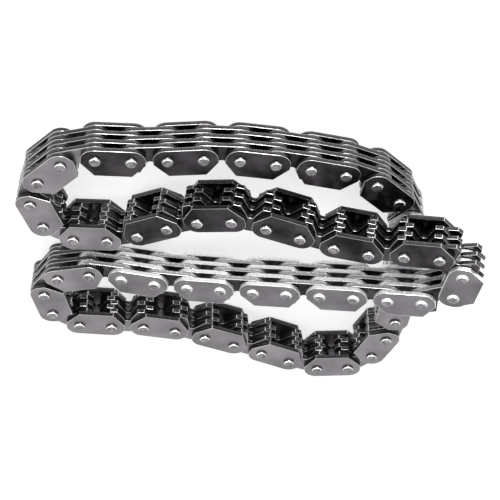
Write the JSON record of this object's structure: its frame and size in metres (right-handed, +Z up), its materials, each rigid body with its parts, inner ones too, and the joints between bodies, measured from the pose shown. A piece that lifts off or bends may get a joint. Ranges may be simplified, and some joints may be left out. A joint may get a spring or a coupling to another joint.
{
  "type": "timing chain",
  "caption": "Endless inverted-tooth timing chain lying on its side in a heap: rows of toothed steel plates and outer guide plates joined by pins that let every link turn.",
  "frame": {"origin": "centre of the box of the laid loop, on the floor under the lower pin ends", "axes": "+Z upward, along the pins of the strands that lie flat; +X along the long way of the heap, towards the right of the picture; +Y towards the top strand"},
  "size_m": [0.1285, 0.1072, 0.0285],
  "materials": {
    "guide_steel": "dark oiled steel, blanked plates with proud pin ends",
    "link_steel": "dark oiled steel, blanked plates"
  },
  "bodies": {
    "guide_link_01": {"guide_link_01": "guide_steel"},
    "inner_link_01": {"inner_link_01": "link_steel"},
    "guide_link_02": {"guide_link_02": "guide_steel"},
    "inner_link_02": {"inner_link_02": "link_steel"},
    "guide_link_03": {"guide_link_03": "guide_steel"},
    "inner_link_03": {"inner_link_03": "link_steel"},
    "guide_link_04": {"guide_link_04": "guide_steel"},
    "inner_link_04": {"inner_link_04": "link_steel"},
    "guide_link_05": {"guide_link_05": "guide_steel"},
    "inner_link_05": {"inner_link_05": "link_steel"},
    "guide_link_06": {"guide_link_06": "guide_steel"},
    "inner_link_06": {"inner_link_06": "link_steel"},
    "guide_link_07": {"guide_link_07": "guide_steel"},
    "inner_link_07": {"inner_link_07": "link_steel"},
    "guide_link_08": {"guide_link_08": "guide_steel"},
    "inner_link_08": {"inner_link_08": "link_steel"},
    "guide_link_09": {"guide_link_09": "guide_steel"},
    "inner_link_09": {"inner_link_09": "link_steel"},
    "guide_link_10": {"guide_link_10": "guide_steel"},
    "inner_link_10": {"inner_link_10": "link_steel"},
    "guide_link_11": {"guide_link_11": "guide_steel"},
    "inner_link_11": {"inner_link_11": "link_steel"},
    "guide_link_12": {"guide_link_12": "guide_steel"},
    "inner_link_12": {"inner_link_12": "link_steel"},
    "guide_link_13": {"guide_link_13": "guide_steel"},
    "inner_link_13": {"inner_link_13": "link_steel"},
    "guide_link_14": {"guide_link_14": "guide_steel"},
    "inner_link_14": {"inner_link_14": "link_steel"},
    "guide_link_15": {"guide_link_15": "guide_steel"},
    "inner_link_15": {"inner_link_15": "link_steel"},
    "guide_link_16": {"guide_link_16": "guide_steel"},
    "inner_link_16": {"inner_link_16": "link_steel"},
    "guide_link_17": {"guide_link_17": "guide_steel"},
    "inner_link_17": {"inner_link_17": "link_steel"},
    "guide_link_18": {"guide_link_18": "guide_steel"},
    "inner_link_18": {"inner_link_18": "link_steel"},
    "guide_link_19": {"guide_link_19": "guide_steel"},
    "inner_link_19": {"inner_link_19": "link_steel"},
    "guide_link_20": {"guide_link_20": "guide_steel"},
    "inner_link_20": {"inner_link_20": "link_steel"},
    "guide_link_21": {"guide_link_21": "guide_steel"},
    "inner_link_21": {"inner_link_21": "link_steel"},
    "guide_link_22": {"guide_link_22": "guide_steel"},
    "inner_link_22": {"inner_link_22": "link_steel"},
    "guide_link_23": {"guide_link_23": "guide_steel"},
    "inner_link_23": {"inner_link_23": "link_steel"},
    "guide_link_24": {"guide_link_24": "guide_steel"},
    "inner_link_24": {"inner_link_24": "link_steel"},
    "guide_link_25": {"guide_link_25": "guide_steel"},
    "inner_link_25": {"inner_link_25": "link_steel"},
    "guide_link_26": {"guide_link_26": "guide_steel"},
    "inner_link_26": {"inner_link_26": "link_steel"},
    "guide_link_27": {"guide_link_27": "guide_steel"},
    "inner_link_27": {"inner_link_27": "link_steel"},
    "guide_link_28": {"guide_link_28": "guide_steel"},
    "inner_link_28": {"inner_link_28": "link_steel"},
    "guide_link_29": {"guide_link_29": "guide_steel"},
    "inner_link_29": {"inner_link_29": "link_steel"},
    "guide_link_30": {"guide_link_30": "guide_steel"},
    "inner_link_30": {"inner_link_30": "link_steel"}
  },
  "joints": [
    {"name": "pin_01", "type": "hinge", "parent": "inner_link_01", "child": "guide_link_01", "pos_m": [-0.03148, 0.04856, 0.0059], "axis": [-0.0008, 0.0001, -1], "range_deg": [-5.57, 5.57]},
    {"name": "pin_02", "type": "hinge", "parent": "guide_link_02", "child": "inner_link_01", "pos_m": [-0.02196, 0.04893, 0.0059], "axis": [0, 0, -1], "range_deg": [-10, 10]},
    {"name": "pin_03", "type": "hinge", "parent": "inner_link_02", "child": "guide_link_02", "pos_m": [-0.01245, 0.04954, 0.0059], "axis": [0, 0, -1], "range_deg": [-3.31, 3.31]},
    {"name": "pin_04", "type": "hinge", "parent": "guide_link_03", "child": "inner_link_02", "pos_m": [-0.00295, 0.04896, 0.0059], "axis": [0, 0, -1], "range_deg": [-1.14, 1.14]},
    {"name": "pin_05", "type": "hinge", "parent": "inner_link_03", "child": "guide_link_03", "pos_m": [0.00645, 0.0474, 0.0059], "axis": [0, 0, -1], "range_deg": [-4.62, 4.62]},
    {"name": "pin_06", "type": "hinge", "parent": "guide_link_04", "child": "inner_link_03", "pos_m": [0.01575, 0.04535, 0.0059], "axis": [0, 0, -1], "range_deg": [-10, 10]},
    {"name": "pin_07", "type": "hinge", "parent": "inner_link_04", "child": "guide_link_04", "pos_m": [0.02497, 0.04297, 0.0059], "axis": [0, 0, -1], "range_deg": [-6.2, 6.2]},
    {"name": "pin_08", "type": "hinge", "parent": "guide_link_05", "child": "inner_link_04", "pos_m": [0.03353, 0.03878, 0.0059], "axis": [0, 0, -1], "range_deg": [-0.81, 0.81]},
    {"name": "pin_09", "type": "hinge", "parent": "inner_link_05", "child": "guide_link_05", "pos_m": [0.03994, 0.03174, 0.0059], "axis": [0, 0, -1], "range_deg": [-2.19, 2.19]},
    {"name": "pin_10", "type": "hinge", "parent": "guide_link_06", "child": "inner_link_05", "pos_m": [0.0434, 0.02286, 0.0059], "axis": [0, 0, -1], "range_deg": [-8.24, 8.24]},
    {"name": "pin_11", "type": "hinge", "parent": "inner_link_06", "child": "guide_link_06", "pos_m": [0.0447, 0.01343, 0.0059], "axis": [0, 0, -1], "range_deg": [-10, 10]},
    {"name": "pin_12", "type": "hinge", "parent": "guide_link_07", "child": "inner_link_06", "pos_m": [0.04478, 0.0039, 0.0059], "axis": [0, 0, -1], "range_deg": [-3.96, 3.96]},
    {"name": "pin_13", "type": "hinge", "parent": "inner_link_07", "child": "guide_link_07", "pos_m": [0.0444, -0.00562, 0.0059], "axis": [0, 0, -1], "range_deg": [-4.16, 4.16]},
    {"name": "pin_14", "type": "hinge", "parent": "guide_link_08", "child": "inner_link_07", "pos_m": [0.04373, -0.01512, 0.0059], "axis": [0, 0, -1], "range_deg": [-10, 10]},
    {"name": "pin_15", "type": "hinge", "parent": "inner_link_08", "child": "guide_link_08", "pos_m": [0.04265, -0.02458, 0.0059], "axis": [0, 0, -1], "range_deg": [-7.59, 7.59]},
    {"name": "pin_16", "type": "hinge", "parent": "guide_link_09", "child": "inner_link_08", "pos_m": [0.04056, -0.03388, 0.0059], "axis": [0, 0, -1], "range_deg": [-1.73, 1.73]},
    {"name": "pin_17", "type": "hinge", "parent": "inner_link_09", "child": "guide_link_09", "pos_m": [0.03673, -0.04259, 0.0059], "axis": [0, 0, -1], "range_deg": [-2.77, 2.77]},
    {"name": "pin_18", "type": "hinge", "parent": "guide_link_10", "child": "inner_link_09", "pos_m": [0.02977, -0.04909, 0.0059], "axis": [0, 0, -1], "range_deg": [-8.61, 8.61]},
    {"name": "pin_19", "type": "hinge", "parent": "inner_link_10", "child": "guide_link_10", "pos_m": [0.02025, -0.04949, 0.0059], "axis": [0, 0, -1], "range_deg": [-10, 10]},
    {"name": "pin_20", "type": "hinge", "parent": "guide_link_11", "child": "inner_link_10", "pos_m": [0.01149, -0.04574, 0.0059], "axis": [0, 0, -1], "range_deg": [-4.17, 4.17]},
    {"name": "pin_21", "type": "hinge", "parent": "inner_link_11", "child": "guide_link_11", "pos_m": [0.0031, -0.04124, 0.0059], "axis": [0, 0, -1], "range_deg": [-4.05, 4.05]},
    {"name": "pin_22", "type": "hinge", "parent": "guide_link_12", "child": "inner_link_11", "pos_m": [-0.00536, -0.03686, 0.0059], "axis": [0, 0, -1], "range_deg": [-10, 10]},
    {"name": "pin_23", "type": "hinge", "parent": "inner_link_12", "child": "guide_link_12", "pos_m": [-0.01396, -0.03278, 0.0059], "axis": [0, 0, -1], "range_deg": [-7.91, 7.91]},
    {"name": "pin_24", "type": "hinge", "parent": "guide_link_13", "child": "inner_link_12", "pos_m": [-0.02285, -0.02934, 0.0059], "axis": [-0.0001, 0, -1], "range_deg": [-1.95, 1.95]},
    {"name": "pin_25", "type": "hinge", "parent": "inner_link_13", "child": "guide_link_13", "pos_m": [-0.03215, -0.02732, 0.0059], "axis": [-0.0001, 0, -1], "range_deg": [-1.53, 1.53]},
    {"name": "pin_26", "type": "hinge", "parent": "guide_link_14", "child": "inner_link_13", "pos_m": [-0.04167, -0.02699, 0.00592], "axis": [-0.0049, 0.0016, -1], "range_deg": [-3, 3]},
    {"name": "pin_27", "type": "hinge", "parent": "inner_link_14", "child": "guide_link_14", "pos_m": [-0.05114, -0.02595, 0.00596], "axis": [-0.0049, 0.0016, -1], "range_deg": [-1.55, 1.55]},
    {"name": "pin_28", "type": "hinge", "parent": "guide_link_15", "child": "inner_link_14", "pos_m": [-0.05838, -0.01976, 0.00605], "axis": [0.0319, 0.0195, -0.9993], "range_deg": [-0.13, 0.13]},
    {"name": "pin_29", "type": "hinge", "parent": "inner_link_15", "child": "guide_link_15", "pos_m": [-0.05996, -0.01036, 0.00618], "axis": [0.0319, 0.0195, -0.9993], "range_deg": [-0.224, 0.224]},
    {"name": "pin_30", "type": "hinge", "parent": "guide_link_16", "child": "inner_link_15", "pos_m": [-0.05501, -0.00223, 0.00649], "axis": [0.0757, -0.0018, -0.9971], "range_deg": [-0.164, 0.164]},
    {"name": "pin_31", "type": "hinge", "parent": "guide_link_16", "child": "inner_link_16", "pos_m": [-0.04587, 0.00036, 0.00718], "axis": [-0.0757, 0.0018, 0.9971], "range_deg": [-0.98, 0.98]},
    {"name": "pin_32", "type": "hinge", "parent": "inner_link_16", "child": "guide_link_17", "pos_m": [-0.03642, -0.00034, 0.00812], "axis": [-0.1205, 0.0002, 0.9927], "range_deg": [-2.77, 2.77]},
    {"name": "pin_33", "type": "hinge", "parent": "guide_link_17", "child": "inner_link_17", "pos_m": [-0.027, -0.0012, 0.00926], "axis": [-0.1205, 0.0002, 0.9927], "range_deg": [-2.23, 2.23]},
    {"name": "pin_34", "type": "hinge", "parent": "inner_link_17", "child": "guide_link_18", "pos_m": [-0.01756, -0.00115, 0.01055], "axis": [-0.1437, -0.0002, 0.9896], "range_deg": [-4.78, 4.78]},
    {"name": "pin_35", "type": "hinge", "parent": "guide_link_18", "child": "inner_link_18", "pos_m": [-0.00816, -0.00046, 0.01191], "axis": [-0.1437, -0.0002, 0.9896], "range_deg": [-10, 10]},
    {"name": "pin_36", "type": "hinge", "parent": "inner_link_18", "child": "guide_link_19", "pos_m": [0.00121, 0.00046, 0.01333], "axis": [-0.1548, -0.0002, 0.9879], "range_deg": [-4.82, 4.82]},
    {"name": "pin_37", "type": "hinge", "parent": "guide_link_19", "child": "inner_link_19", "pos_m": [0.01056, 0.00152, 0.0148], "axis": [-0.1548, -0.0002, 0.9879], "range_deg": [-0.13, 0.13]},
    {"name": "pin_38", "type": "hinge", "parent": "inner_link_19", "child": "guide_link_20", "pos_m": [0.0199, 0.00266, 0.0163], "axis": [-0.1604, -0.0003, 0.9871], "range_deg": [-5.1, 5.1]},
    {"name": "pin_39", "type": "hinge", "parent": "guide_link_20", "child": "inner_link_20", "pos_m": [0.02923, 0.0038, 0.01782], "axis": [-0.1604, -0.0003, 0.9871], "range_deg": [-10, 10]},
    {"name": "pin_40", "type": "hinge", "parent": "inner_link_20", "child": "guide_link_21", "pos_m": [0.0386, 0.00462, 0.01934], "axis": [-0.1613, -0.0003, 0.9869], "range_deg": [-5.02, 5.02]},
    {"name": "pin_41", "type": "hinge", "parent": "guide_link_21", "child": "inner_link_21", "pos_m": [0.04795, 0.00561, 0.02087], "axis": [-0.1613, -0.0003, 0.9869], "range_deg": [-1.85, 1.85]},
    {"name": "pin_42", "type": "hinge", "parent": "inner_link_21", "child": "guide_link_22", "pos_m": [0.05616, 0.01025, 0.02222], "axis": [-0.1583, -0.0006, 0.9874], "range_deg": [-4, 4]},
    {"name": "pin_43", "type": "hinge", "parent": "guide_link_22", "child": "inner_link_22", "pos_m": [0.05772, 0.01964, 0.02247], "axis": [-0.1583, -0.0006, 0.9874], "range_deg": [-3.93, 3.93]},
    {"name": "pin_44", "type": "hinge", "parent": "inner_link_22", "child": "guide_link_23", "pos_m": [0.05104, 0.02635, 0.02137], "axis": [-0.1621, -0.0003, 0.9868], "range_deg": [-1.76, 1.76]},
    {"name": "pin_45", "type": "hinge", "parent": "guide_link_23", "child": "inner_link_23", "pos_m": [0.04166, 0.0257, 0.01983], "axis": [-0.1621, -0.0003, 0.9868], "range_deg": [-2.77, 2.77]},
    {"name": "pin_46", "type": "hinge", "parent": "inner_link_23", "child": "guide_link_24", "pos_m": [0.03231, 0.02475, 0.01831], "axis": [-0.1594, 0.0001, 0.9872], "range_deg": [-9.1, 9.1]},
    {"name": "pin_47", "type": "hinge", "parent": "guide_link_24", "child": "inner_link_24", "pos_m": [0.02295, 0.02565, 0.01679], "axis": [-0.1594, 0.0001, 0.9872], "range_deg": [-10, 10]},
    {"name": "pin_48", "type": "hinge", "parent": "inner_link_24", "child": "guide_link_25", "pos_m": [0.01381, 0.02791, 0.01532], "axis": [-0.1568, 0.0005, 0.9876], "range_deg": [-3.67, 3.67]},
    {"name": "pin_49", "type": "hinge", "parent": "guide_link_25", "child": "inner_link_25", "pos_m": [0.00472, 0.03035, 0.01388], "axis": [-0.1568, 0.0005, 0.9876], "range_deg": [-3.56, 3.56]},
    {"name": "pin_50", "type": "hinge", "parent": "inner_link_25", "child": "guide_link_26", "pos_m": [-0.00464, 0.03141, 0.01244], "axis": [-0.146, -0.0002, 0.9893], "range_deg": [-10, 10]},
    {"name": "pin_51", "type": "hinge", "parent": "guide_link_26", "child": "inner_link_26", "pos_m": [-0.01387, 0.02951, 0.01107], "axis": [-0.146, -0.0002, 0.9893], "range_deg": [-4.06, 4.06]},
    {"name": "pin_52", "type": "hinge", "parent": "inner_link_26", "child": "guide_link_27", "pos_m": [-0.02234, 0.02533, 0.00989], "axis": [-0.1284, -0.0014, 0.9917], "range_deg": [-8.06, 8.06]},
    {"name": "pin_53", "type": "hinge", "parent": "guide_link_27", "child": "inner_link_27", "pos_m": [-0.03061, 0.02073, 0.00881], "axis": [-0.1284, -0.0014, 0.9917], "range_deg": [-5.66, 5.66]},
    {"name": "pin_54", "type": "hinge", "parent": "inner_link_27", "child": "guide_link_28", "pos_m": [-0.03939, 0.01717, 0.00781], "axis": [-0.0918, 0.0002, 0.9958], "range_deg": [-4.49, 4.49]},
    {"name": "pin_55", "type": "hinge", "parent": "guide_link_28", "child": "inner_link_28", "pos_m": [-0.04886, 0.01661, 0.00694], "axis": [-0.0918, 0.0002, 0.9958], "range_deg": [-1.84, 1.84]},
    {"name": "pin_56", "type": "hinge", "parent": "inner_link_28", "child": "guide_link_29", "pos_m": [-0.05687, 0.02173, 0.00637], "axis": [-0.0565, 0.009, 0.9984], "range_deg": [-8.15, 8.15]},
    {"name": "pin_57", "type": "hinge", "parent": "guide_link_29", "child": "inner_link_29", "pos_m": [-0.05953, 0.03088, 0.00614], "axis": [-0.0565, 0.009, 0.9984], "range_deg": [-3.68, 3.68]},
    {"name": "pin_58", "type": "hinge", "parent": "inner_link_29", "child": "guide_link_30", "pos_m": [-0.05685, 0.04002, 0.00602], "axis": [-0.0047, 0.0156, 0.9999], "range_deg": [-10, 10]},
    {"name": "pin_59", "type": "hinge", "parent": "guide_link_30", "child": "inner_link_30", "pos_m": [-0.05023, 0.04686, 0.00595], "axis": [-0.0047, 0.0156, 0.9999], "range_deg": [-8.18, 8.18]}
  ],
  "couplings": [
    {"joint": "pin_01", "follows": "pin_02", "ratio": -0.5563},
    {"joint": "pin_03", "follows": "pin_02", "ratio": -0.3303},
    {"joint": "pin_04", "follows": "pin_02", "ratio": -0.1134},
    {"joint": "pin_05", "follows": "pin_06", "ratio": -0.4609},
    {"joint": "pin_07", "follows": "pin_06", "ratio": -0.6192},
    {"joint": "pin_08", "follows": "pin_06", "ratio": 0.0801},
    {"joint": "pin_09", "follows": "pin_11", "ratio": 0.2183},
    {"joint": "pin_10", "follows": "pin_11", "ratio": -0.8228},
    {"joint": "pin_12", "follows": "pin_11", "ratio": -0.3955},
    {"joint": "pin_13", "follows": "pin_14", "ratio": -0.4146},
    {"joint": "pin_15", "follows": "pin_14", "ratio": -0.7577},
    {"joint": "pin_16", "follows": "pin_14", "ratio": 0.1722},
    {"joint": "pin_17", "follows": "pin_19", "ratio": 0.2759},
    {"joint": "pin_18", "follows": "pin_19", "ratio": -0.8602},
    {"joint": "pin_20", "follows": "pin_19", "ratio": -0.4157},
    {"joint": "pin_21", "follows": "pin_22", "ratio": -0.4036},
    {"joint": "pin_23", "follows": "pin_22", "ratio": -0.79},
    {"joint": "pin_24", "follows": "pin_22", "ratio": 0.1936},
    {"joint": "pin_25", "follows": "pin_26", "ratio": -0.5062},
    {"joint": "pin_27", "follows": "pin_26", "ratio": -0.5137},
    {"joint": "pin_28", "follows": "pin_26", "ratio": 0.04},
    {"joint": "pin_29", "follows": "pin_26", "ratio": -0.0714},
    {"joint": "pin_30", "follows": "pin_26", "ratio": 0.0514},
    {"joint": "pin_31", "follows": "pin_35", "ratio": -0.0971},
    {"joint": "pin_32", "follows": "pin_35", "ratio": 0.2762},
    {"joint": "pin_33", "follows": "pin_35", "ratio": -0.2217},
    {"joint": "pin_34", "follows": "pin_35", "ratio": -0.4768},
    {"joint": "pin_36", "follows": "pin_35", "ratio": -0.4808},
    {"joint": "pin_37", "follows": "pin_39", "ratio": 0.012},
    {"joint": "pin_38", "follows": "pin_39", "ratio": -0.5089},
    {"joint": "pin_40", "follows": "pin_39", "ratio": -0.5008},
    {"joint": "pin_41", "follows": "pin_42", "ratio": -0.4597},
    {"joint": "pin_43", "follows": "pin_42", "ratio": -0.979},
    {"joint": "pin_44", "follows": "pin_42", "ratio": 0.4387},
    {"joint": "pin_45", "follows": "pin_47", "ratio": 0.2756},
    {"joint": "pin_46", "follows": "pin_47", "ratio": -0.9091},
    {"joint": "pin_48", "follows": "pin_47", "ratio": -0.3665},
    {"joint": "pin_49", "follows": "pin_50", "ratio": -0.3553},
    {"joint": "pin_51", "follows": "pin_50", "ratio": -0.4046},
    {"joint": "pin_52", "follows": "pin_50", "ratio": -0.805},
    {"joint": "pin_53", "follows": "pin_50", "ratio": 0.5649},
    {"joint": "pin_54", "follows": "pin_58", "ratio": 0.448},
    {"joint": "pin_55", "follows": "pin_58", "ratio": -0.1834},
    {"joint": "pin_56", "follows": "pin_58", "ratio": -0.8136},
    {"joint": "pin_57", "follows": "pin_58", "ratio": 0.3666},
    {"joint": "pin_59", "follows": "pin_58", "ratio": -0.8172}
  ]
}
